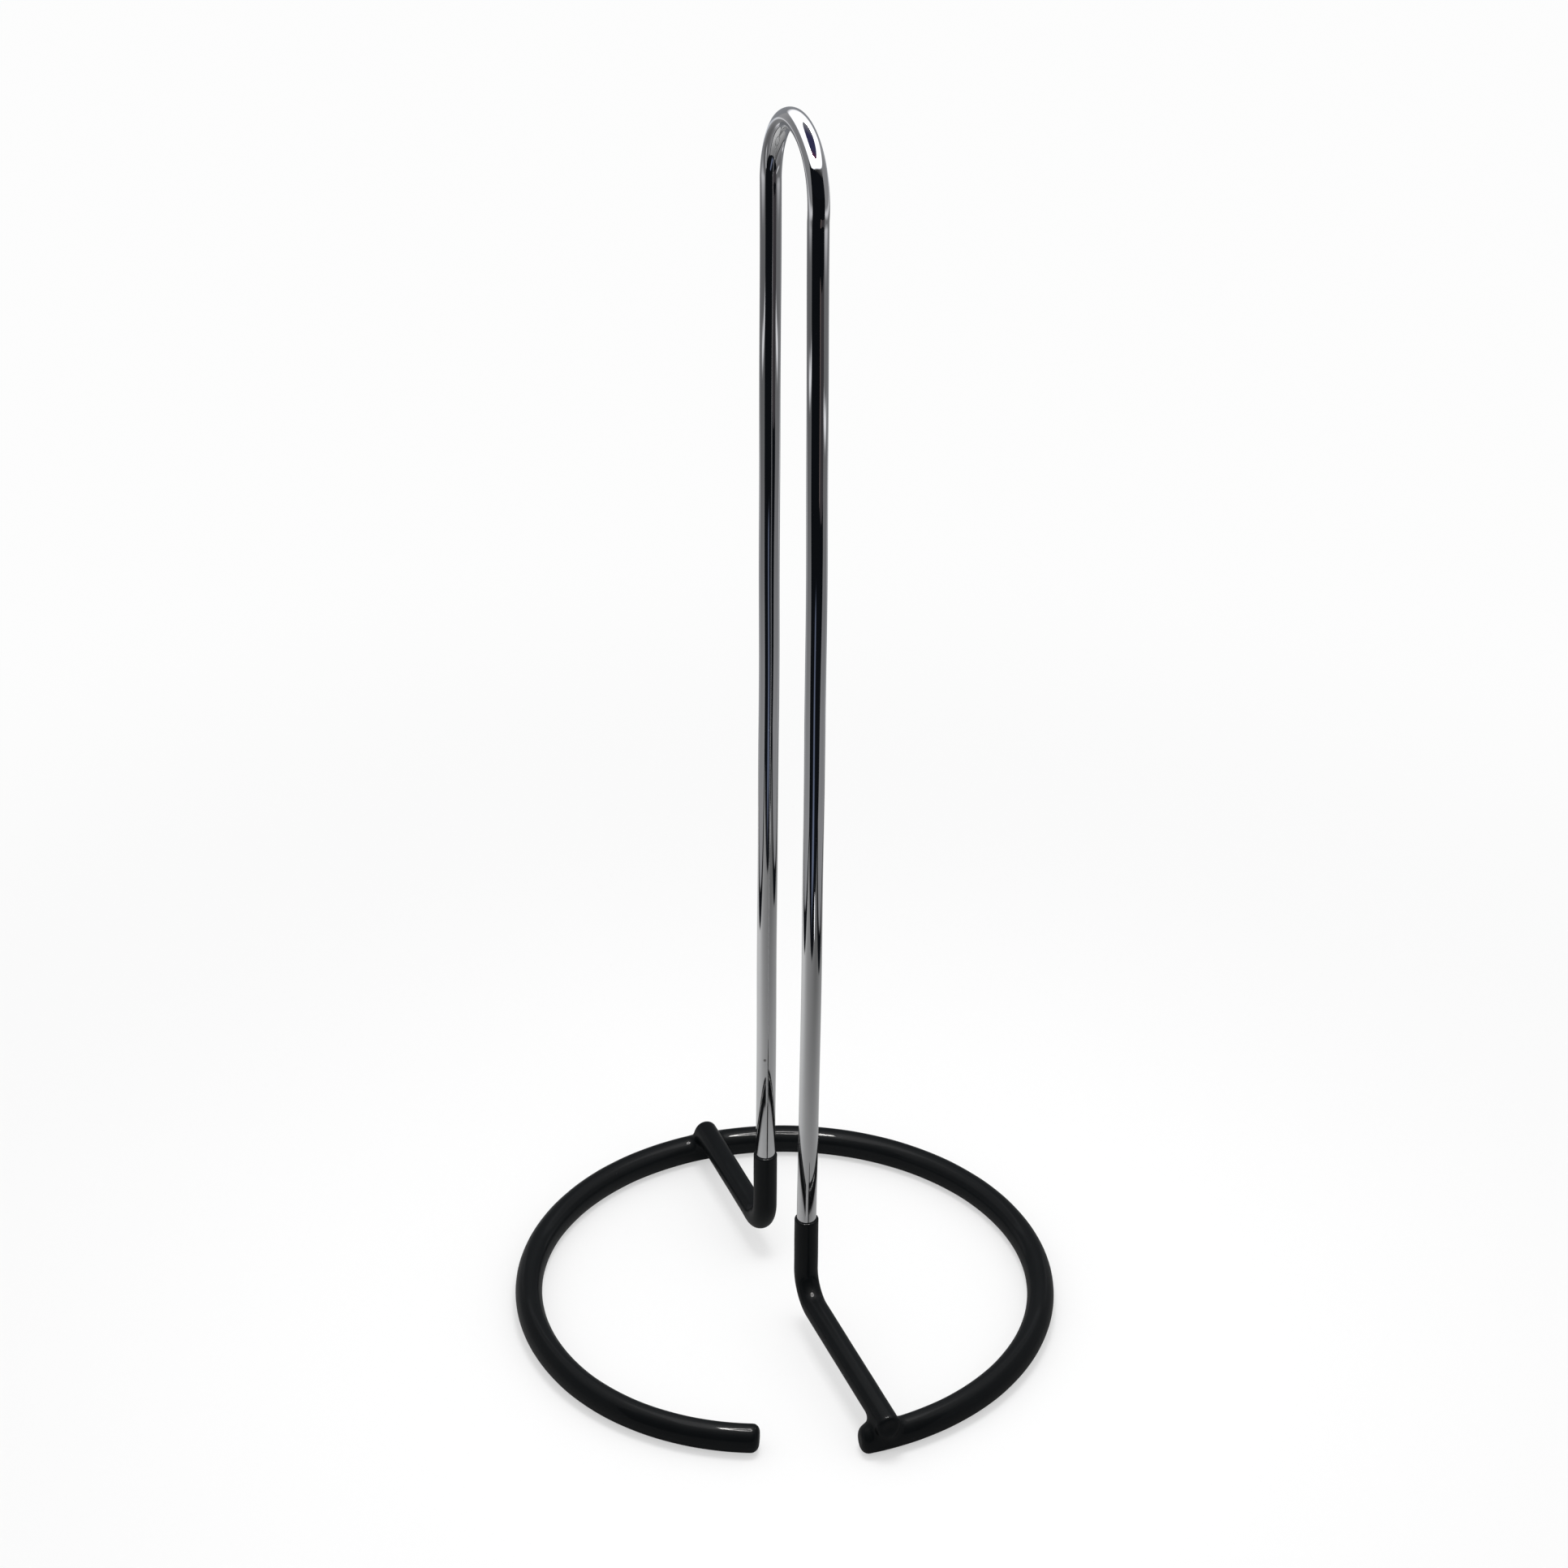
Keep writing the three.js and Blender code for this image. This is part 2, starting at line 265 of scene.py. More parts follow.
def top_bend_path(step):
    """The top bend: half an ellipse that leans as the CAD bend does, with a slightly fuller front."""
    half_width = (REAR_LEG - FRONT_LEG) / 2
    centre_y = middle(FRONT_LEG, REAR_LEG)
    top = arc(centre_y, TOP_BEND_Z, half_width, TOP_BEND_RISE, 180, 0, step)
    height = (top[:, 2] - TOP_BEND_Z) / TOP_BEND_RISE
    front = np.clip((centre_y - top[:, 1]) / half_width, 0, 1)
    top[:, 1] -= TOP_BEND_LEAN * height + BEND_SHOULDER * height * front
    top[:, 0] += BEND_SIDE_LEAN * height
    return top


def leg_path(leg_y, bow, phase, step):
    """A leg above its foot's bend: bowed as the CAD leg is, and slightly wavy as straightened wire is."""
    z = run(FOOT_BEND_Z, TOP_BEND_Z, step)
    along = np.clip((z - DIP_LINE) / (TOP_BEND_Z - DIP_LINE), 0, 1)
    crest = np.sin(math.pi * along)
    leg = in_plane(leg_y + crest * bow[1], z)
    leg[:, 0] += crest * bow[0]
    for axis, turn in ((1, phase), (0, phase + SIDE_WAVE_TURN)):
        wave = np.sin(z / LONG_WAVE + turn) + SHORT_WAVE_SHARE * np.sin(z / SHORT_WAVE + 2 * turn)
        leg[:, axis] += LEG_WAVE * wave * crest ** 0.5
    return leg


# ------------------------------------------------------------ meshes


def add_object(name, data):
    piece = bpy.data.objects.new(name, data)
    bpy.context.scene.collection.objects.link(piece)
    return piece


def new_piece(name, points, faces):
    mesh = bpy.data.meshes.new(name)
    mesh.from_pydata(points.tolist(), [], faces)
    mesh.validate()
    return add_object(name, mesh)


def piece_from(name, working):
    """One object holding a working mesh, which is freed."""
    mesh = bpy.data.meshes.new(name)
    working.to_mesh(mesh)
    working.free()
    return add_object(name, mesh)


def tube(name, path, across, radius, sides):
    """A closed round tube along a path in one plane; `across` is the direction square to that plane."""
    tangent = np.gradient(path, axis=0)
    tangent /= np.linalg.norm(tangent, axis=1)[:, None]
    side = np.cross(tangent, across)
    angle = np.arange(sides) * TURN / sides
    rings = (path[:, None] + radius * np.cos(angle)[None, :, None] * side[:, None]
             + radius * np.sin(angle)[None, :, None] * np.array(across, float)[None, None])
    faces = []
    for i in range(len(path) - 1):
        here, ahead = i * sides, (i + 1) * sides
        for j in range(sides):
            k = (j + 1) % sides
            faces.append((here + j, ahead + j, ahead + k, here + k))
    last = (len(path) - 1) * sides
    faces.append(tuple(range(sides)))
    faces.append(tuple(range(last, last + sides))[::-1])
    return new_piece(name, rings.reshape(-1, 3), faces)


def join(name, pieces):
    """One object holding the meshes of several, which are removed."""
    fused = bmesh.new()
    for piece in pieces:
        fused.from_mesh(piece.data)
        bpy.data.objects.remove(piece)
    bmesh.ops.recalc_face_normals(fused, faces=fused.faces)
    return piece_from(name, fused)


def modified(piece, kind, **settings):
    """Gives a piece the mesh that one modifier makes of it."""
    modifier = piece.modifiers.new(kind.title(), kind)
    for key, value in settings.items():
        setattr(modifier, key, value)
    evaluated = piece.evaluated_get(bpy.context.evaluated_depsgraph_get())
    mesh = bpy.data.meshes.new_from_object(evaluated)
    piece.modifiers.clear()
    piece.data = mesh
    return piece


def get_points(mesh):
    flat = np.empty(len(mesh.vertices) * 3)
    mesh.vertices.foreach_get("co", flat)
    return flat.reshape(-1, 3)


def smooth(piece):
    piece.data.shade_smooth()
    piece.data.set_sharp_from_angle(angle=SHARP_ANGLE)


# ------------------------------------------------------------ the skin's distance field


def capped(radial, beyond, radius, corner):
    """Distance to a round bar from the distance off its axis and beyond its end, with a rounded rim."""
    across = radial - (radius - corner)
    along = beyond + corner
    outside = np.hypot(np.maximum(across, 0), np.maximum(along, 0))
    return outside + np.minimum(np.maximum(across, along), 0) - corner


def ring_distance(points):
    flat = points - np.array(RING_CENTRE)
    gap_middle = middle(RING_START, RING_END - TURN)
    azimuth = (np.arctan2(flat[:, 1], flat[:, 0]) - gap_middle) % TURN + gap_middle
    half_width, half_height = RING_WIRE + RING_SIDE_SKIN, RING_WIRE + RING_TOP_SKIN
    off_line = np.hypot(flat[:, 0], flat[:, 1]) - ring_radius_at(azimuth)
    off_axis = np.hypot(off_line, flat[:, 2] * half_width / half_height)
    beyond = np.maximum(RING_START - azimuth, azimuth - RING_END) * RING_RADIUS - RING_END_SKIN
    return capped(off_axis, beyond, half_width, RING_END_CORNER)


def foot_distance(points, end_y, leg_y):
    """Distance to the skin on one foot, its bend and the leg up to the dip line."""
    outward = math.copysign(1, end_y - leg_y)
    bend_y = leg_y + outward * FOOT_BEND
    y, z = points[:, 1], points[:, 2]
    past_bend = np.maximum((bend_y - y) * outward, 0)
    below_bend = np.maximum(FOOT_BEND_Z - z, 0)
    to_foot = np.hypot(z - FOOT_Z, past_bend)
    to_leg = np.hypot(y - leg_y, below_bend)
    turn_y, turn_z = (bend_y - y) * outward, FOOT_BEND_Z - z
    in_bend = (turn_y > 0) & (turn_z > 0)
    to_bend = np.where(in_bend, np.abs(np.hypot(turn_y, turn_z) - FOOT_BEND), np.inf)
    off_axis = np.hypot(points[:, 0] - POST_X, np.minimum(np.minimum(to_foot, to_leg), to_bend))
    below_rim = (DIP_LINE - z) / RIM_BEAD_WIDTH
    bead = RIM_BEAD * np.exp(-(below_rim - RIM_BEAD_PLACE) ** 2 * 2)
    radius = WIRE + SKIN
    dimple = FOOT_END_DIMPLE * np.exp(-(off_axis / DIMPLE_REACH) ** 2)
    at_tip = capped(off_axis, (y - end_y) * outward - SKIN + dimple, radius, FOOT_END_CORNER)
    at_rim = capped(off_axis - bead, z - DIP_LINE, radius, RIM_CORNER)
    return np.maximum(at_tip, at_rim)


def swell(points):
    """Slow unevenness in the skin's thickness, from how the dip ran and cured."""
    x, y, z = points.T / MM
    wave = sum(share * np.sin(a * x + b * y + c * z + start) for share, (a, b, c), start in SWELL_WAVES)
    most = sum(share for share, _, _ in SWELL_WAVES)
    return SWELL * (wave / most - 1) / 2 + rear_drip(points)


def rear_drip(points):
    """The thicker skin that hung from the rear foot's bend as it cured."""
    lowest = np.array((POST_X, REAR_LEG + FOOT_BEND / 4, FOOT_Z - WIRE))
    return REAR_DRIP * np.exp(-((points - lowest) ** 2).sum(1) / DRIP_REACH ** 2)


def coat_distance(points):
    """Distance to the whole skin's outside, with the corners at both cross-welds filled."""
    ring = ring_distance(points)
    feet = np.minimum(foot_distance(points, FRONT_FOOT_END, FRONT_LEG),
                      foot_distance(points, REAR_FOOT_END, REAR_LEG))
    meet = np.maximum(WEB - np.abs(ring - feet), 0)
    return np.minimum(ring, feet) - meet ** 2 / (4 * WEB) - swell(points)


def project(points, rounds):
    """Moves points onto the skin's surface."""
    for _ in range(rounds):
        here = coat_distance(points)
        slope = np.stack([(coat_distance(points + step) - here) / PROBE for step in np.eye(3) * PROBE], 1)
        length = np.maximum((slope ** 2).sum(1), LEAST_STEEPNESS)
        points = points - slope * (here / length)[:, None]
    return points


def relax(points, edges, share):
    """Moves each point towards the middle of its neighbours."""
    total = np.zeros_like(points)
    count = np.zeros(len(points))
    for a, b in ((edges[:, 0], edges[:, 1]), (edges[:, 1], edges[:, 0])):
        np.add.at(total, a, points[b])
        np.add.at(count, a, 1)
    return points + share * (total / count[:, None] - points)


# ------------------------------------------------------------ pieces


def chrome_hairpin():
    piece = tube("chrome_hairpin", hairpin_path(WIRE_STEP), (1, 0, 0), WIRE, WIRE_SIDES)
    smooth(piece)
    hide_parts("hairpin_post")
    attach(piece, "root")
    return piece


def skin_tubes(name, extra, ring_overrun, top, sides, step):
    """The ring and both feet with the legs up to `top`, as closed tubes `extra` thicker than the wires."""
    tubes = [tube(name, ring_path(ring_overrun, step), (0, 0, 1), RING_WIRE + extra, sides)]
    for end_y, leg_y in ((FRONT_FOOT_END, FRONT_LEG), (REAR_FOOT_END, REAR_LEG)):
        leg = in_plane(leg_y, np.append(run(FOOT_BEND_Z, top, step), top))
        path = np.concatenate([foot_path(end_y, leg_y, extra, step), leg])
        tubes.append(tube(name, path, (1, 0, 0), WIRE + extra, sides))
    return tubes


def refine_rims(mesh):
    """Cuts the faces near the dip line smaller, so that its rounded rim is even."""
    fine = bmesh.new()
    fine.from_mesh(mesh)
    near = [edge for edge in fine.edges if all(v.co.z > DIP_LINE - RIM_ZONE for v in edge.verts)]
    bmesh.ops.subdivide_edges(fine, edges=near, cuts=RIM_CUTS, use_grid_fill=True)
    fine.to_mesh(mesh)
    fine.free()


def skin_outside():
    tubes = skin_tubes("outside", SKIN, RING_END_SKIN, DIP_LINE, COAT_SIDES, COAT_STEP)
    piece = join("vinyl_dip_skin", tubes)
    modified(piece, "REMESH", mode="VOXEL", voxel_size=VOXEL)
    refine_rims(piece.data)
    edges = np.empty(len(piece.data.edges) * 2, int)
    piece.data.edges.foreach_get("vertices", edges)
    points = project(get_points(piece.data), FIRST_ROUNDS)
    for _ in range(RELAX_ROUNDS):
        points = project(relax(points, edges.reshape(-1, 2), RELAX_SHARE), ROUNDS_BETWEEN)
    points = project(points, LAST_ROUNDS)
    piece.data.vertices.foreach_set("co", points.ravel())
    piece.data.update()
    return piece


def weld_room(node):
    """A closed egg round one weld, just larger than it."""
    low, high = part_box(node)
    egg = bmesh.new()
    size = (high - low) / 2 + Vector((1, 1, 1)) * SKIN_GAP
    where = Matrix.Translation(middle(low, high)) @ Matrix.Diagonal((*size, 1))
    bmesh.ops.create_uvsphere(egg, u_segments=EGG_SEGMENTS, v_segments=EGG_RINGS, radius=1, matrix=where)
    return piece_from(node, egg)


def vinyl_dip_skin():
    """The one-piece skin: a smooth outside, less the room that the wires and welds take up."""
    piece = skin_outside()
    rooms = skin_tubes("room", SKIN_GAP, SKIN_GAP, DIP_LINE + HOLLOW_OVERRUN, HOLLOW_SIDES, HOLLOW_STEP)
    rooms += [weld_room("front_weld"), weld_room("rear_weld")]
    for room in rooms:
        modified(piece, "BOOLEAN", operation="DIFFERENCE", solver="MANIFOLD", object=room)
        bpy.data.objects.remove(room)
    smooth(piece)
    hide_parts("dip_coat")
    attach(piece, "root")
    return piece


# ------------------------------------------------------------ materials

CHROME_DULL = (0.60, 0.605, 0.615, 1)
CHROME_BRIGHT = (0.66, 0.665, 0.672, 1)
PIT_COLOUR = (0.16, 0.15, 0.14, 1)
CHROME_ROUGHNESS = 0.012
LINE_ROUGHNESS = 0.03
PIT_ROUGHNESS = 0.35
LINE_STRETCH = (1, 1, 60)
LINE_DEPTH = 0.0006 * MM
PIT_DEPTH = 0.02 * MM

VINYL_DARK = (0.0010, 0.0017, 0.0023, 1)
VINYL_HAZY = (0.0023, 0.0036, 0.0045, 1)
DUST_COLOUR = (0.07, 0.074, 0.072, 1)
VINYL_ROUGHNESS = 0.5
HAZE_ROUGHNESS = 0.15
VINYL_SPECULAR = 0.07
GLOSS_WEIGHT = 0.17
GLOSS_ROUGHNESS = 0.025
HAZE_ON_GLOSS = 0.07
PEEL_DEPTH = 0.012 * MM
GRAIN_DEPTH = 0.0012 * MM
HOLE_DEPTH = 0.05 * MM

# Steels: dark streaks, light streaks and least roughness.
RING_STEEL = ((0.30, 0.30, 0.31, 1), (0.52, 0.52, 0.53, 1), 0.3)
WELD_STEEL = ((0.16, 0.15, 0.15, 1), (0.36, 0.35, 0.35, 1), 0.5)
HEAT_TINT = (0.20, 0.13, 0.08, 1)
HEAT_RANGE = (0.55, 0.75)
STREAK_ROUGHNESS = 0.2
SCALE_DEPTH = 0.01 * MM

# The mix node's colour sockets by number, since its sockets share their names.
MIX_INPUTS = (0, 6, 7)
MIX_RESULT = 2


def new_material(name):
    material = bpy.data.materials.new(name)
    material.use_nodes = True
    tree = material.node_tree
    tree.nodes.clear()
    return material, tree


def add_node(tree, kind, settings=None, **inputs):
    """A node with its settings, and its inputs by name, each a value or another node's output."""
    node = tree.nodes.new(kind)
    for key, value in (settings or {}).items():
        setattr(node, key, value)
    for key, value in inputs.items():
        plug(tree, node.inputs[key.replace("_", " ")], value)
    return node


def plug(tree, socket, value):
    if isinstance(value, bpy.types.NodeSocket):
        tree.links.new(value, socket)
    else:
        socket.default_value = value


def calculate(tree, operation, *values):
    node = add_node(tree, "ShaderNodeMath", {"operation": operation})
    for socket, value in zip(node.inputs, values):
        plug(tree, socket, value)
    return node.outputs[0]


def ramp(tree, factor, low, high, to_low=0.0, to_high=1.0):
    """Maps factor from between low and high to between two values, with a smooth step."""
    node = add_node(tree, "ShaderNodeMapRange", {"interpolation_type": "SMOOTHSTEP"}, Value=factor)
    for key, value in (("From Min", low), ("From Max", high), ("To Min", to_low), ("To Max", to_high)):
        plug(tree, node.inputs[key], value)
    return node.outputs["Result"]


def blend_colours(tree, factor, first, second):
    node = add_node(tree, "ShaderNodeMix", {"data_type": "RGBA"})
    for socket, value in zip(MIX_INPUTS, (factor, first, second)):
        plug(tree, node.inputs[socket], value)
    return node.outputs[MIX_RESULT]


def place(tree, stretch=(1, 1, 1)):
    """Object coordinates, divided by the stretch along each axis."""
    where = add_node(tree, "ShaderNodeTexCoord").outputs["Object"]
    scale = tuple(1 / part for part in stretch)
    return add_node(tree, "ShaderNodeMapping", Vector=where, Scale=scale).outputs["Vector"]


def noise(tree, grain, where=None, detail=2.0):
    """A noise whose lumps are about `grain` metres across."""
    node = add_node(tree, "ShaderNodeTexNoise", Vector=where or place(tree), Scale=1 / grain, Detail=detail)
    return node.outputs["Fac"]


def specks(tree, spacing, size, share):
    """1 in small round specks, in the given share of cells of a scattered grid, else 0."""
    cells = add_node(tree, "ShaderNodeTexVoronoi", Vector=place(tree), Scale=1 / spacing)
    pick = add_node(tree, "ShaderNodeSeparateColor", Color=cells.outputs["Color"])
    chosen = calculate(tree, "LESS_THAN", pick.outputs["Red"], share)
    reach = calculate(tree, "MULTIPLY", pick.outputs["Green"], size / spacing)
    inside = ramp(tree, cells.outputs["Distance"], 0.0, reach, 1.0, 0.0)
    return calculate(tree, "MULTIPLY", inside, chosen)


def bump(tree, height, depth, normal=None):
    """A normal bent by a height that runs from 0 to 1 over `depth` metres."""
    node = add_node(tree, "ShaderNodeBump", Height=height, Distance=depth, Strength=1.0)
    if normal:
        plug(tree, node.inputs["Normal"], normal)
    return node.outputs["Normal"]


def finish_surface(tree, **inputs):
    shader = add_node(tree, "ShaderNodeBsdfPrincipled", **inputs)
    add_node(tree, "ShaderNodeOutputMaterial", Surface=shader.outputs["BSDF"])


def chrome_material():
    """Bright plating: faint drawing lines, a wiped bloom, and a few dull pits."""
    material, tree = new_material("bright_chrome")
    lines = noise(tree, 0.35 * MM, place(tree, LINE_STRETCH), detail=3.0)
    bloom = noise(tree, 14 * MM)
    pits = specks(tree, spacing=5.5 * MM, size=0.55 * MM, share=0.1)
    tint = blend_colours(tree, bloom, CHROME_DULL, CHROME_BRIGHT)
    colour = blend_colours(tree, pits, tint, PIT_COLOUR)
    sheen = calculate(tree, "MULTIPLY_ADD", lines, LINE_ROUGHNESS, CHROME_ROUGHNESS)
    roughness = calculate(tree, "ADD", calculate(tree, "MULTIPLY", pits, PIT_ROUGHNESS), sheen)
    normal = bump(tree, lines, LINE_DEPTH)
    normal = bump(tree, pits, -PIT_DEPTH, normal)
    finish_surface(tree, Base_Color=colour, Metallic=1.0, Roughness=roughness, Normal=normal)
    return material


def vinyl_material():
    """Glossy black plastisol: orange peel, pinholes, settled dust and handling haze."""
    material, tree = new_material("black_dip_vinyl")
    haze = noise(tree, 11 * MM, detail=4.0)
    dust = specks(tree, spacing=2.7 * MM, size=0.22 * MM, share=0.4)
    holes = specks(tree, spacing=4.3 * MM, size=0.4 * MM, share=0.22)
    base = blend_colours(tree, haze, VINYL_DARK, VINYL_HAZY)
    colour = blend_colours(tree, dust, base, DUST_COLOUR)
    roughness = calculate(tree, "MULTIPLY_ADD", haze, HAZE_ROUGHNESS, VINYL_ROUGHNESS)
    gloss = calculate(tree, "MULTIPLY_ADD", haze, HAZE_ON_GLOSS, GLOSS_ROUGHNESS)
    normal = bump(tree, noise(tree, 1.9 * MM, detail=1.0), PEEL_DEPTH)
    normal = bump(tree, noise(tree, 0.32 * MM, detail=1.0), GRAIN_DEPTH, normal)
    normal = bump(tree, holes, -HOLE_DEPTH, normal)
    finish_surface(tree, Base_Color=colour, Roughness=roughness, Specular_IOR_Level=VINYL_SPECULAR,
                   Normal=normal, Coat_Weight=GLOSS_WEIGHT, Coat_Roughness=gloss, Coat_Normal=normal)
    return material


def steel_material(name, dark, light, roughness):
    """Drawn or fused steel that the skin hides: mill scale, streaks and heat tint."""
    material, tree = new_material(name)
    streaks = noise(tree, 0.5 * MM, detail=5.0)
    heat = ramp(tree, noise(tree, 6 * MM), *HEAT_RANGE)
    colour = blend_colours(tree, heat, blend_colours(tree, streaks, dark, light), HEAT_TINT)
    rough = calculate(tree, "ADD", roughness, calculate(tree, "MULTIPLY", streaks, STREAK_ROUGHNESS))
    normal = bump(tree, streaks, SCALE_DEPTH)
    finish_surface(tree, Base_Color=colour, Metallic=1.0, Roughness=rough, Normal=normal)
    return material


def give(piece, material):
    piece.data.materials.clear()
    piece.data.materials.append(material)


# ------------------------------------------------------------ camera

CAMERA_TARGET = Vector((-1.13, 0.925, 153.23)) * MM
CAMERA_DISTANCE = 941.2 * MM
CAMERA_AZIMUTH = math.radians(-20.6)
CAMERA_ELEVATION = math.radians(29.298)
CAMERA_ROLL = math.radians(0.45)
CAMERA_LENS = 89.3


def make_camera():
    data = bpy.data.cameras.new("camera")
    data.lens = CAMERA_LENS
    camera = add_object("camera", data)
    level = math.cos(CAMERA_ELEVATION)
    back = Vector((math.sin(CAMERA_AZIMUTH) * level, -math.cos(CAMERA_AZIMUTH) * level,
                   math.sin(CAMERA_ELEVATION)))
    aim = (-back).to_track_quat("-Z", "Y").to_matrix().to_4x4()
    roll = Matrix.Rotation(CAMERA_ROLL, 4, "Z")
    camera.matrix_world = Matrix.Translation(CAMERA_TARGET + back * CAMERA_DISTANCE) @ aim @ roll
    bpy.context.scene.camera = camera


# ------------------------------------------------------------ light box

# The box stands square to the camera, with its open front towards it. Distances are from the post.
BOX_HALF_WIDTH = 200 * MM
BOX_HEIGHT = 400 * MM
BOX_BACK = 260 * MM
NEUTRAL = (1.0, 1.0, 1.03, 1)
COOL = (0.96, 0.99, 1.06, 1)

# Its side walls: front edges that slant back up to a height, and the dark gap under them.
LEFT_FRONT_LOW = -170 * MM
LEFT_FRONT_HIGH = -104 * MM
RIGHT_FRONT_LOW = -188 * MM
RIGHT_FRONT_HIGH = -96 * MM
SLANT_TOP = 125 * MM
WALL_GAP = 4 * MM

# The walls' glow: dimmest at WALL_MIDDLE, stronger again above it and towards the back.
WALL_MIDDLE = 170 * MM
UPPER_START = 195 * MM
UPPER_END = 265 * MM
UPPER_GLOW = 0.12
DEEP_START = BOX_BACK * 0.42
DEEP_END = BOX_BACK * 0.9

# Creases in the foil: height, reach above and below, and glow.
HIGH_CREASE = (234 * MM, 25 * MM, 0.55)
LOW_CREASE_HEIGHT = 97 * MM
LOW_CREASE_REACH = 24 * MM
FRONT_CREASE_REACH = 11 * MM
FRONT_CREASE_GLOW = 0.8
FRONT_CREASE_FADE = (10 * MM, 60 * MM)

# The ceiling: a bright part that is rounded in front, and how far its front edge runs askew.
CEILING_FRONT = -135 * MM
CEILING_DIM = (0.03, 0.4)
CEILING_GLOW = (1.75, 0.5)
GLOW_FADE_START = BOX_BACK * 0.45
GLOW_X = 12 * MM
GLOW_HALF_WIDTH = 172 * MM
GLOW_FRONT_REACH = 111 * MM
GLOW_SKEW = 0.28
GLOW_SQUARENESS = 3.0
GLOW_EDGE = (0.93, 1.04)

# The ring lamp and the dark core inside it.
LAMP_PLACE = Vector((10, -12, 0)) * MM
LAMP_OUTER = 75 * MM
LAMP_INNER = 60 * MM
LAMP_COLOUR = (1.0, 0.98, 0.96, 1)
LAMP_GLOW = 150.0
LAMP_DROP = 2 * MM
KEY_POWER = 0.7
CORE_PLACE = Vector((10, -16, 0)) * MM
CORE_HALF_WIDTH = 42 * MM
CORE_HALF_DEPTH = 62 * MM
CORE_DROP = 1 * MM
CORE_BLUE = (0.045, 0.045, 0.11, 1)
CORE_GREY = (0.28, 0.28, 0.30, 1)
CORE_RED = (0.16, 0.012, 0.06, 1)
CORE_GREY_FADE = (-5 * MM, 45 * MM)
CORE_RED_FADE = (-40 * MM, -75 * MM)
ROUND_SIDES = 64

# A flap that hangs off the right wall's front edge, towards the camera, with a paler front edge.
FLAP_FRONT = -290 * MM
FLAP = [(200 * MM, -105 * MM, 138 * MM), (130 * MM, FLAP_FRONT, 96 * MM),
        (130 * MM, FLAP_FRONT, 172 * MM), (200 * MM, -105 * MM, 210 * MM)]
FLAP_DIM = (0.055, 0.05, 0.055, 1)
FLAP_EDGE = (0.27, 0.21, 0.2, 1)
FLAP_EDGE_FADE = (FLAP_FRONT + 10 * MM, FLAP_FRONT + 45 * MM)

# The mat that the stand is on, as reflections see it: paler to the back and to the left, which is painted
# shade standing in for the box's uneven light.
MAT_FRONT = -193 * MM
MAT_HALF_WIDTH = 178 * MM
MAT_FRONT_BLUR = 3 * MM
MAT_SIDE_BLUR = 2 * MM
MAT_SHADE = (0.22, 0.44)
MAT_SHADE_FADE = (-160 * MM, 60 * MM)
MAT_SIDE_SHADE = 0.5
BEYOND_MAT = (0.006, 0.007, 0.009, 1)

# A small white card that lies at the mat's front edge.
CARD_PLACE = Vector((93, -195, 0)) * MM
CARD_HALF_SIZE = 13 * MM
CARD_HEIGHT = 1 * MM
CARD_GLOW = 1.7

# A pale blue strip that lies in front of the mat.
STRIP_MIDDLE = (-37 * MM, -328 * MM)
STRIP_TURN = math.radians(69.6)
STRIP_HALF_LENGTH = 125 * MM
STRIP_HALF_WIDTH = 60 * MM
STRIP_FADE_ALONG = 0.7
STRIP_FADE_ACROSS = 0.2
STRIP_COLOUR = (0.16, 0.19, 0.28, 1)

# The floor and the backdrop as the camera sees them.
STAGE_REACH = 30.0
FLOOR_PALE = (0.82, 0.82, 0.82, 1)
PALE_START = 0.10
PALE_END = 0.45
PALE_SHARE = 0.5
BACKDROP = (0.98, 0.98, 0.98, 1)
SOFT_LIGHT = (0.90, 0.90, 0.90, 1)
DARK_ROOM = (0.0065, 0.0075, 0.010, 1)


def box_matrix():
    return Matrix.Rotation(CAMERA_AZIMUTH, 4, "Z")


def position(tree):
    """Object coordinates of the point, as a vector and as its three parts."""
    where = add_node(tree, "ShaderNodeTexCoord").outputs["Object"]
    return where, add_node(tree, "ShaderNodeSeparateXYZ", Vector=where).outputs


def only_reflected(piece):
    piece.visible_camera = False
    piece.visible_diffuse = False
    piece.visible_shadow = False
    piece.visible_transmission = False


def stage_sheet(name, points, faces, light, sampled=False):
    """A flat sheet of the box that only reflections see; `light` gives its colour and strength."""
    piece = new_piece(name, np.array(points, float), faces)
    piece.matrix_world = box_matrix()
    material, tree = new_material(name)
    colour, strength = light(tree)
    glow = add_node(tree, "ShaderNodeEmission", Color=colour, Strength=strength)
    add_node(tree, "ShaderNodeOutputMaterial", Surface=glow.outputs["Emission"])
    if not sampled:
        material.cycles.emission_sampling = "NONE"
    give(piece, material)
    only_reflected(piece)


def product(tree, first, *others):
    for other in others:
        first = calculate(tree, "MULTIPLY", first, other)
    return first


def size_of(tree, value):
    return calculate(tree, "ABSOLUTE", value)


def crease(tree, height, centre, reach, strength):
    """The glow of a level crease in the foil, fading out within `reach` above and below it."""
    away = size_of(tree, calculate(tree, "SUBTRACT", height, centre))
    return ramp(tree, away, 0.0, reach, strength, 0.0)


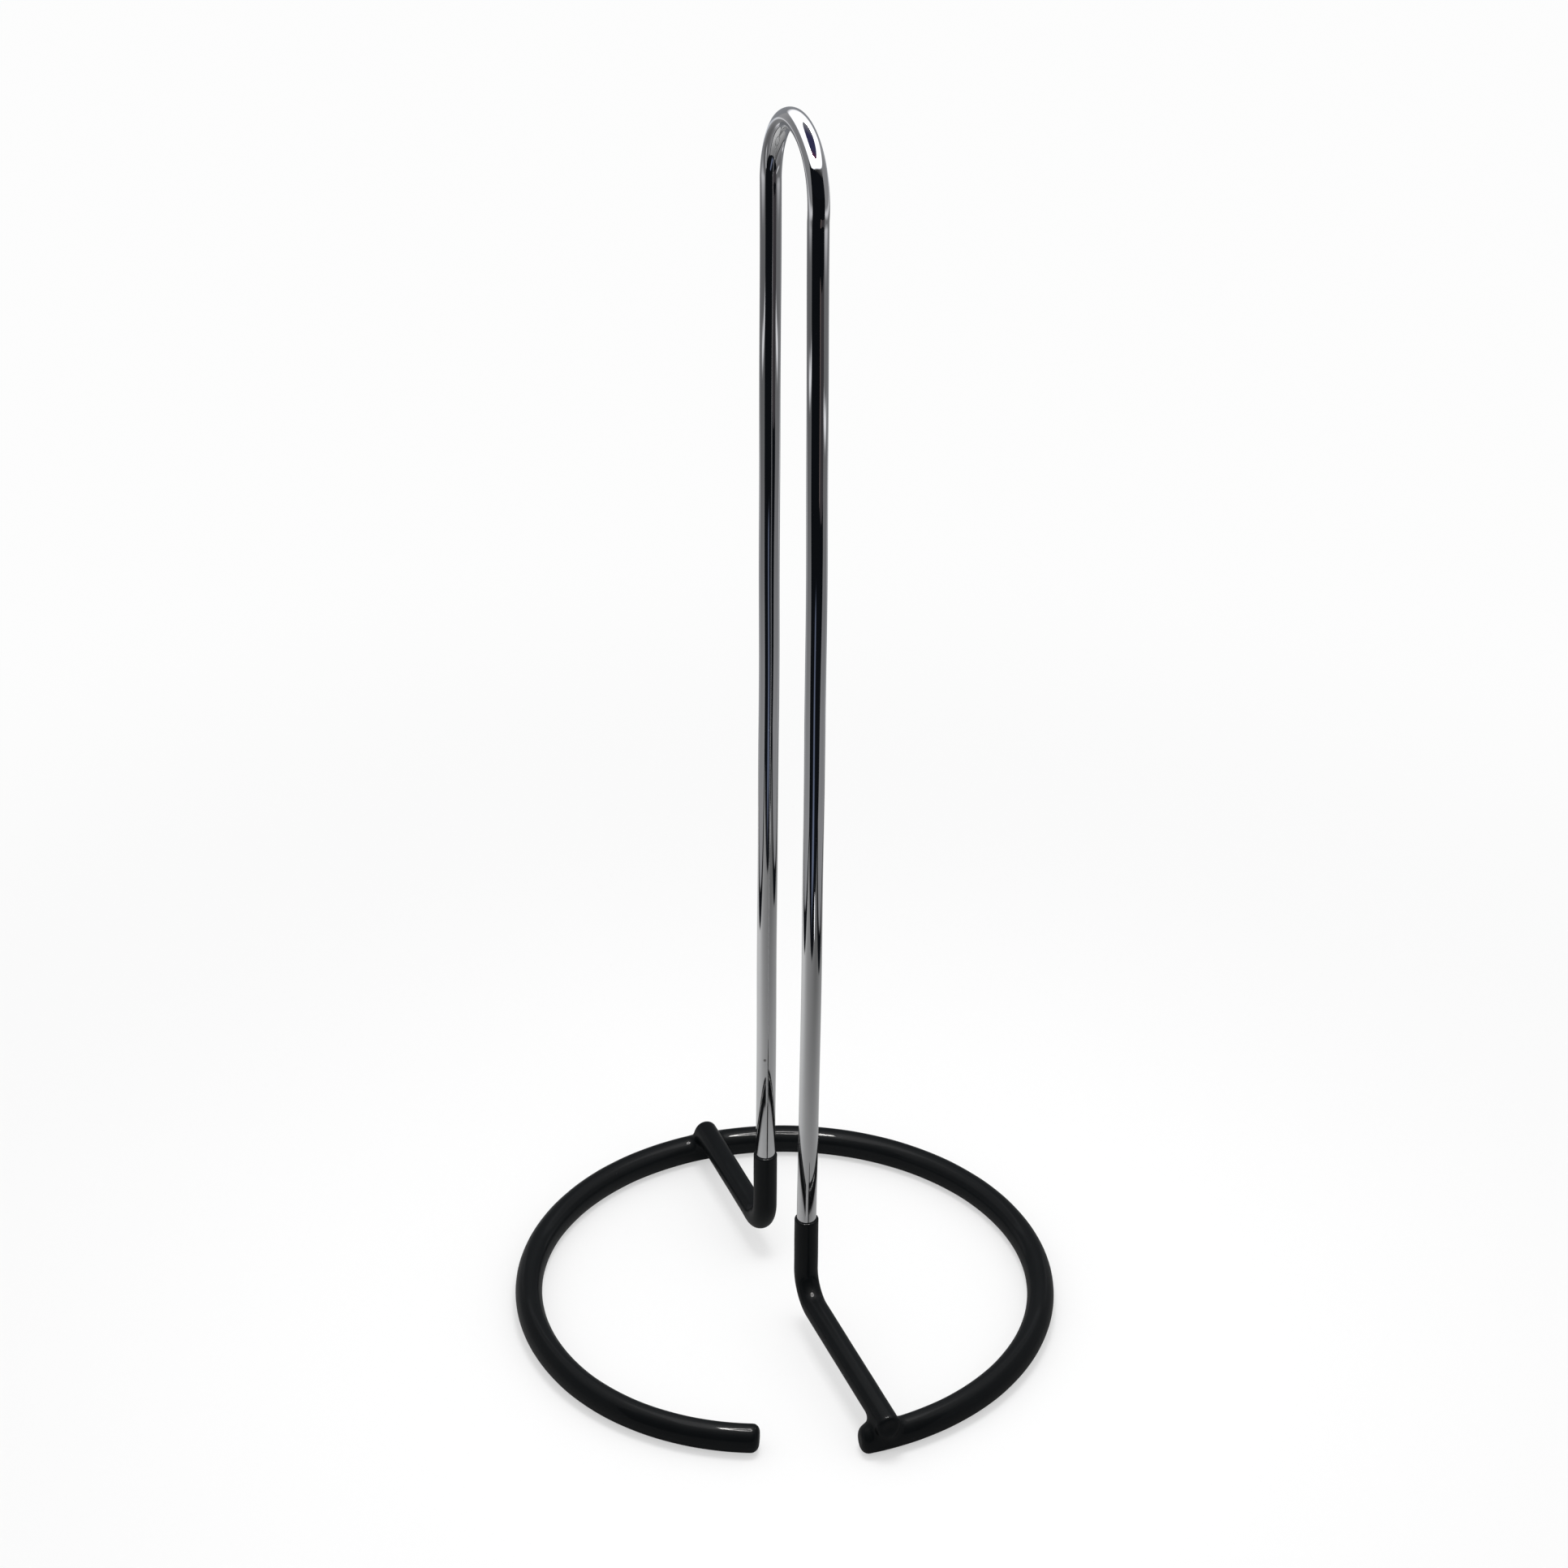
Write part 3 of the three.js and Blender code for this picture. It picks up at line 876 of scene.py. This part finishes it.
def wall_light(colour, low, middling, back_gain, low_crease_glow, front_crease_height):
    """A foil wall just off the floor: its glow at the floor and half way up, and its three creases."""
    def light(tree):
        _, parts = position(tree)
        height, y = parts["Z"], parts["Y"]
        depth = ramp(tree, y, DEEP_START, DEEP_END)
        glow = ramp(tree, height, 0.0, WALL_MIDDLE, low, middling)
        glow = product(tree, glow, calculate(tree, "MULTIPLY_ADD", depth, back_gain - 1, 1.0))
        upper = ramp(tree, height, UPPER_START, UPPER_END, 0.0, UPPER_GLOW)
        high_crease = crease(tree, height, *HIGH_CREASE)
        low_crease = crease(tree, height, LOW_CREASE_HEIGHT, LOW_CREASE_REACH, low_crease_glow)
        front_crease = crease(tree, height, front_crease_height, FRONT_CREASE_REACH, FRONT_CREASE_GLOW)
        near = ramp(tree, y, *FRONT_CREASE_FADE, 1.0, 0.0)
        creases = (high_crease, product(tree, low_crease, depth), product(tree, front_crease, near))
        for part in (upper, *creases):
            glow = calculate(tree, "ADD", glow, part)
        return colour, product(tree, glow, ramp(tree, height, 0.0, WALL_GAP))
    return light


def ceiling_light(tree):
    """Bright over the stand as far as a rounded front edge, and dim to the sides and at the back."""
    _, parts = position(tree)
    side = calculate(tree, "DIVIDE", calculate(tree, "SUBTRACT", parts["X"], GLOW_X), GLOW_HALF_WIDTH)
    skewed = calculate(tree, "MULTIPLY_ADD", parts["X"], -GLOW_SKEW, parts["Y"])
    ahead = calculate(tree, "MINIMUM", calculate(tree, "SUBTRACT", skewed, LAMP_PLACE.y), 0.0)
    ahead = calculate(tree, "DIVIDE", ahead, GLOW_FRONT_REACH)
    powers = (calculate(tree, "POWER", size_of(tree, part), GLOW_SQUARENESS) for part in (side, ahead))
    away = calculate(tree, "POWER", calculate(tree, "ADD", *powers), 1 / GLOW_SQUARENESS)
    outside = ramp(tree, away, *GLOW_EDGE)
    dim = ramp(tree, parts["Y"], CEILING_FRONT, 0.0, *CEILING_DIM)
    bright = ramp(tree, parts["Y"], GLOW_FADE_START, BOX_BACK, *CEILING_GLOW)
    bright = product(tree, bright, calculate(tree, "SUBTRACT", 1.0, outside))
    return NEUTRAL, calculate(tree, "ADD", bright, product(tree, outside, dim))


def flap_light(tree):
    _, parts = position(tree)
    edge = ramp(tree, parts["Y"], *FLAP_EDGE_FADE, 1.0, 0.0)
    return blend_colours(tree, edge, FLAP_DIM, FLAP_EDGE), 1.0


def lamp_light(tree):
    return LAMP_COLOUR, LAMP_GLOW


def core_light(tree):
    """The dark middle of the lamp: grey at the back, blue across, and dark red at the front."""
    _, parts = position(tree)
    grey = ramp(tree, parts["Y"], *CORE_GREY_FADE)
    red = ramp(tree, parts["Y"], *CORE_RED_FADE)
    return blend_colours(tree, red, blend_colours(tree, grey, CORE_BLUE, CORE_GREY), CORE_RED), 1.0


def card_light(tree):
    return NEUTRAL, CARD_GLOW


def ellipse(centre, half_width, half_depth, height):
    angle = np.arange(ROUND_SIDES) * TURN / ROUND_SIDES
    points = np.stack([half_width * np.cos(angle), half_depth * np.sin(angle), np.zeros(ROUND_SIDES)], 1)
    return points + np.array(centre) + np.array((0, 0, height))


def make_walls():
    w, h, back, front = BOX_HALF_WIDTH, BOX_HEIGHT, BOX_BACK, CEILING_FRONT
    four, five = [(0, 1, 2, 3)], [(0, 1, 2, 3, 4)]
    left = [(-w, LEFT_FRONT_LOW, 0), (-w, back, 0), (-w, back, h),
            (-w, LEFT_FRONT_HIGH, h), (-w, LEFT_FRONT_HIGH, SLANT_TOP)]
    right = [(w, RIGHT_FRONT_LOW, 0), (w, back, 0), (w, back, h),
             (w, RIGHT_FRONT_HIGH, h), (w, RIGHT_FRONT_HIGH, SLANT_TOP)]
    rear = [(-w, back, 0), (w, back, 0), (w, back, h), (-w, back, h)]
    top = [(-w, front, h), (w, front, h), (w, back, h), (-w, back, h)]
    stage_sheet("left_wall", left, five, wall_light(NEUTRAL, 0.37, 0.16, 1.7, 0.7, 176 * MM))
    stage_sheet("right_wall", right, five, wall_light(NEUTRAL, 0.33, 0.2, 1.7, 0.7, 170 * MM))
    stage_sheet("back_wall", rear, four, wall_light(COOL, 0.22, 0.16, 1.2, 0.0, 173 * MM))
    stage_sheet("ceiling", top, four, ceiling_light)
    stage_sheet("flap", FLAP, four, flap_light)


def make_lamp():
    """The ring lamp under the box's ceiling, with its dark middle."""
    height, n = BOX_HEIGHT - LAMP_DROP, ROUND_SIDES
    outer = ellipse(LAMP_PLACE, LAMP_OUTER, LAMP_OUTER, height)
    inner = ellipse(LAMP_PLACE, LAMP_INNER, LAMP_INNER, height)
    around = [(i, (i + 1) % n, n + (i + 1) % n, n + i) for i in range(n)]
    stage_sheet("ring_lamp", np.concatenate([outer, inner]), around, lamp_light, sampled=True)
    core = ellipse(CORE_PLACE, CORE_HALF_WIDTH, CORE_HALF_DEPTH, BOX_HEIGHT - CORE_DROP)
    stage_sheet("lamp_core", core, [tuple(range(n))], core_light)


def make_card():
    card = ellipse(CARD_PLACE, CARD_HALF_SIZE, CARD_HALF_SIZE, CARD_HEIGHT)
    stage_sheet("card", card, [tuple(range(ROUND_SIDES))], card_light)


def make_key_light():
    """The same lamp's light on the floor and on the skin, as one soft disc."""
    data = bpy.data.lights.new("key", "AREA")
    data.shape = "DISK"
    data.size = LAMP_OUTER * 2
    data.energy = KEY_POWER
    lamp = add_object("key", data)
    lamp.matrix_world = box_matrix() @ Matrix.Translation(LAMP_PLACE + Vector((0, 0, BOX_HEIGHT)))
    lamp.visible_glossy = False
    lamp.visible_camera = False


def strip(tree, parts):
    """1 along the middle of the strip in front of the mat, fading to 0 at its edges."""
    x = calculate(tree, "SUBTRACT", parts["X"], STRIP_MIDDLE[0])
    y = calculate(tree, "SUBTRACT", parts["Y"], STRIP_MIDDLE[1])
    cos, sin = math.cos(STRIP_TURN), math.sin(STRIP_TURN)
    along = size_of(tree, calculate(tree, "ADD", product(tree, x, cos), product(tree, y, sin)))
    across = size_of(tree, calculate(tree, "ADD", product(tree, x, -sin), product(tree, y, cos)))
    along = ramp(tree, along, STRIP_HALF_LENGTH * STRIP_FADE_ALONG, STRIP_HALF_LENGTH, 1.0, 0.0)
    across = ramp(tree, across, STRIP_HALF_WIDTH * STRIP_FADE_ACROSS, STRIP_HALF_WIDTH, 1.0, 0.0)
    return product(tree, along, across)


def mat(tree, parts):
    """1 on the mat and 0 off it."""
    y, x = parts["Y"], size_of(tree, parts["X"])
    front = ramp(tree, y, MAT_FRONT - MAT_FRONT_BLUR, MAT_FRONT + MAT_FRONT_BLUR)
    sides = ramp(tree, x, MAT_HALF_WIDTH - MAT_SIDE_BLUR, MAT_HALF_WIDTH + MAT_SIDE_BLUR, 1.0, 0.0)
    return product(tree, front, sides)


# Painted shade: the mat's grey is darker towards the front and towards the right.
def mat_painted_shade(tree, parts):
    depth = ramp(tree, parts["Y"], *MAT_SHADE_FADE, *MAT_SHADE)
    sideways = calculate(tree, "MULTIPLY_ADD", parts["X"], -MAT_SIDE_SHADE / BOX_HALF_WIDTH, 1.0)
    grey = product(tree, depth, sideways)
    return add_node(tree, "ShaderNodeCombineColor", Red=grey, Green=grey, Blue=grey).outputs["Color"]


def floor_material():
    """Pale to the camera, and to reflections a grey mat with painted shade and a dark room round it."""
    material, tree = new_material("pale_floor")
    mirrored = add_node(tree, "ShaderNodeLightPath").outputs["Is Glossy Ray"]
    where, parts = position(tree)
    beyond = blend_colours(tree, strip(tree, parts), BEYOND_MAT, STRIP_COLOUR)
    seen = blend_colours(tree, mat(tree, parts), beyond, mat_painted_shade(tree, parts))
    near = add_node(tree, "ShaderNodeBsdfDiffuse", Color=blend_colours(tree, mirrored, FLOOR_PALE, seen))
    far = add_node(tree, "ShaderNodeEmission", Color=BACKDROP, Strength=1.0)
    distance = add_node(tree, "ShaderNodeVectorMath", {"operation": "LENGTH"}, Vector=where)
    fade = ramp(tree, distance.outputs["Value"], PALE_START, PALE_END, PALE_SHARE)
    fade = product(tree, fade, calculate(tree, "SUBTRACT", 1.0, mirrored))
    surface = add_node(tree, "ShaderNodeMixShader", Fac=fade)
    tree.links.new(near.outputs["BSDF"], surface.inputs[1])
    tree.links.new(far.outputs["Emission"], surface.inputs[2])
    add_node(tree, "ShaderNodeOutputMaterial", Surface=surface.outputs["Shader"])
    material.cycles.emission_sampling = "NONE"
    return material


def make_floor():
    r = STAGE_REACH
    floor = new_piece("floor", np.array([(-r, -r, 0), (r, -r, 0), (r, r, 0), (-r, r, 0)]), [(0, 1, 2, 3)])
    floor.matrix_world = box_matrix()
    give(floor, floor_material())


def make_world():
    """Pale behind the stand, dim to reflections, and an even soft light on everything."""
    world = bpy.data.worlds.new("studio")
    world.use_nodes = True
    tree = world.node_tree
    tree.nodes.clear()
    rays = add_node(tree, "ShaderNodeLightPath").outputs
    unseen = blend_colours(tree, rays["Is Glossy Ray"], SOFT_LIGHT, DARK_ROOM)
    colour = blend_colours(tree, rays["Is Camera Ray"], unseen, BACKDROP)
    light = add_node(tree, "ShaderNodeBackground", Color=colour, Strength=1.0)
    add_node(tree, "ShaderNodeOutputWorld", Surface=light.outputs["Background"])
    bpy.context.scene.world = world


def make_studio():
    make_floor()
    make_walls()
    make_lamp()
    make_card()
    make_key_light()
    make_world()
    bpy.context.scene.view_settings.view_transform = "Standard"


# ------------------------------------------------------------ the stand

give(chrome_hairpin(), chrome_material())
give(vinyl_dip_skin(), vinyl_material())
weld_steel = steel_material("weld_steel", *WELD_STEEL)
give(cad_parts["base_ring"], steel_material("ring_steel", *RING_STEEL))
give(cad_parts["front_weld"], weld_steel)
give(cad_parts["rear_weld"], weld_steel)

make_camera()
make_studio()
